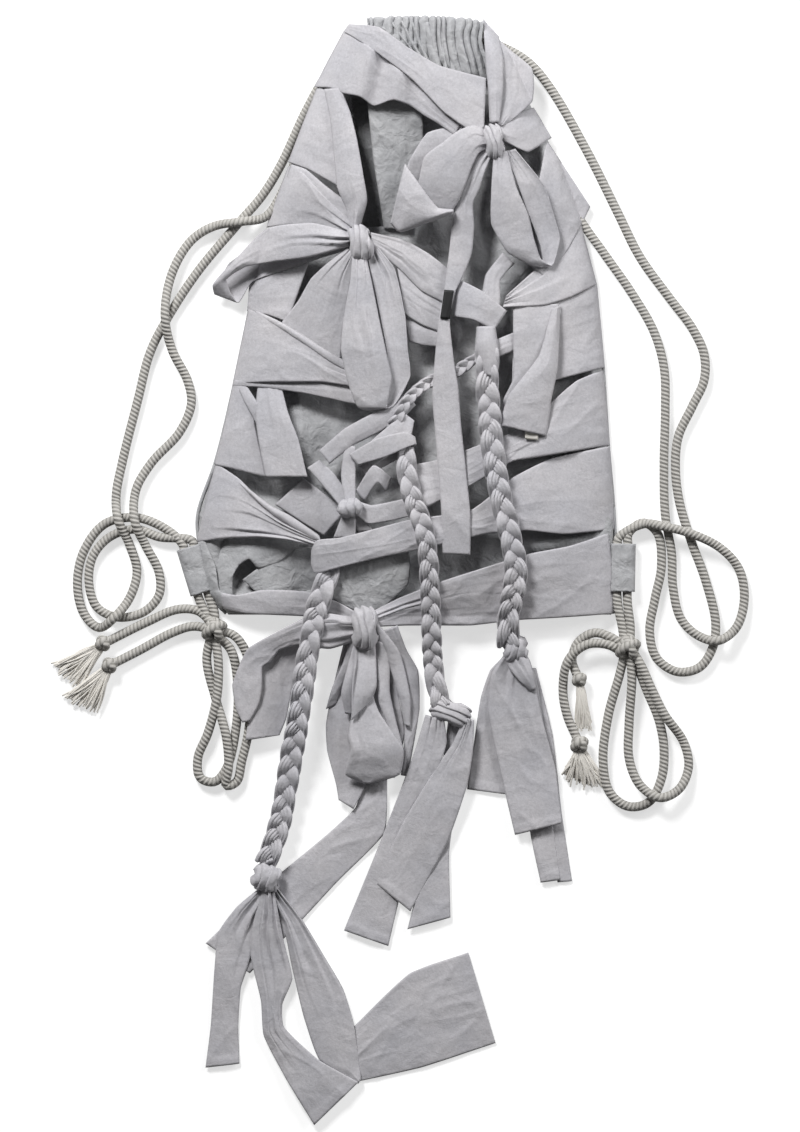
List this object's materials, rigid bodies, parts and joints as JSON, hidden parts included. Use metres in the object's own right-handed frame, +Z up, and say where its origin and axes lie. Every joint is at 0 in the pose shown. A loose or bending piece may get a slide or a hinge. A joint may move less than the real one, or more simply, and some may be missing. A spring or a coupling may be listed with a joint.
{
  "type": "drawstring gym sack",
  "caption": "Drawstring gym sack lying on its back, its front covered in tied cloth strips: bows, plaits with loose tails, a labelled streamer and knotted cords with tassels.",
  "frame": {"origin": "middle of the sack's width and height on the underside of the flat back panel, where it lies on a surface", "axes": "+X to the right of the front as seen from above, +Y from the hem towards the drawn mouth, +Z up from the surface"},
  "size_m": [0.5332, 0.8493, 0.0411],
  "materials": {
    "strip": "smooth light grey cotton",
    "sack": "washed, finely creased grey cotton",
    "cord": "twisted beige and grey cotton cord with cream tassels",
    "label": "plain black woven tape"
  },
  "bodies": {
    "sack": {"back_panel": "sack", "front_panel": "sack", "back_channel": "sack", "front_channel": "sack", "left_corner_tab": "sack", "right_corner_tab": "sack", "collar_strip": "strip", "left_neck_strip": "strip", "left_shoulder_strip": "strip", "left_chest_strip": "strip", "left_waist_strip": "strip", "left_fan_strip": "strip", "left_hip_strip": "strip", "left_flank_strip": "strip", "left_gathered_strip": "strip", "left_hem_strip": "strip", "upper_cross_strip": "strip", "lower_cross_strip": "strip", "twisted_strip": "strip", "braid_cover_strip": "strip", "braid_lead_strip": "strip", "right_neck_strip": "strip", "right_shoulder_strip": "strip", "right_chest_strip": "strip", "right_waist_strip": "strip", "right_hip_strip": "strip", "right_flank_strip": "strip", "waist_strap": "strip", "right_hem_strip": "strip", "upper_bow": "strip", "left_bow": "strip", "small_knot": "strip", "bottom_bow": "strip", "bottom_bow_tail": "strip", "left_drawcord": "cord", "right_drawcord": "cord"},
    "left_plait": {"left_braid": "strip", "left_braid_tail_outer": "strip", "left_braid_tail_middle": "strip", "left_braid_tail_inner": "strip"},
    "middle_plait": {"middle_braid": "strip", "middle_braid_tail_left": "strip", "middle_braid_tail_front": "strip", "middle_braid_tail_back": "strip"},
    "right_plait": {"right_braid": "strip", "right_braid_tail_back": "strip", "right_braid_tail_front": "strip", "right_braid_tail_long": "strip"},
    "label_streamer": {"label_tail": "strip", "woven_label": "label"},
    "left_tail": {"left_hanging_tail": "strip"},
    "right_tail": {"right_hanging_tail": "strip"},
    "left_tie": {"left_tied_cord": "cord", "left_tassel_upper": "cord", "left_tassel_lower": "cord"},
    "right_tie": {"right_tied_cord": "cord", "right_tassel_upper": "cord", "right_tassel_lower": "cord"}
  },
  "joints": [
    {"name": "left_plait_lift", "type": "hinge", "parent": "sack", "child": "left_plait", "pos_m": [-0.06, -0.195, 0.0317], "axis": [-0.9818, 0.19, 0], "range_deg": [0, 80]},
    {"name": "middle_plait_lift", "type": "hinge", "parent": "sack", "child": "middle_plait", "pos_m": [0, -0.101, 0.0404], "axis": [-1, 0, 0], "range_deg": [0, 80]},
    {"name": "right_plait_lift", "type": "hinge", "parent": "sack", "child": "right_plait", "pos_m": [0.061, -0.0136, 0.0383], "axis": [-0.9959, -0.09, 0], "range_deg": [0, 80]},
    {"name": "label_streamer_lift", "type": "hinge", "parent": "sack", "child": "label_streamer", "pos_m": [0.0575, 0.1211, 0.0289], "axis": [-1, 0, 0], "range_deg": [0, 80]},
    {"name": "left_tail_lift", "type": "hinge", "parent": "sack", "child": "left_tail", "pos_m": [-0.105, -0.0538, 0.0192], "axis": [-0.9707, -0.2402, 0], "range_deg": [0, 80]},
    {"name": "right_tail_lift", "type": "hinge", "parent": "sack", "child": "right_tail", "pos_m": [0.1, 0.0081, 0.0254], "axis": [-1, 0, 0], "range_deg": [0, 80]},
    {"name": "left_tie_pull", "type": "slide", "parent": "sack", "child": "left_tie", "axis": [0.2922, -0.9564, 0], "range_m": [0, 0.02]},
    {"name": "right_tie_pull", "type": "slide", "parent": "sack", "child": "right_tie", "axis": [-0.0179, -0.9998, 0], "range_m": [0, 0.02]}
  ]
}
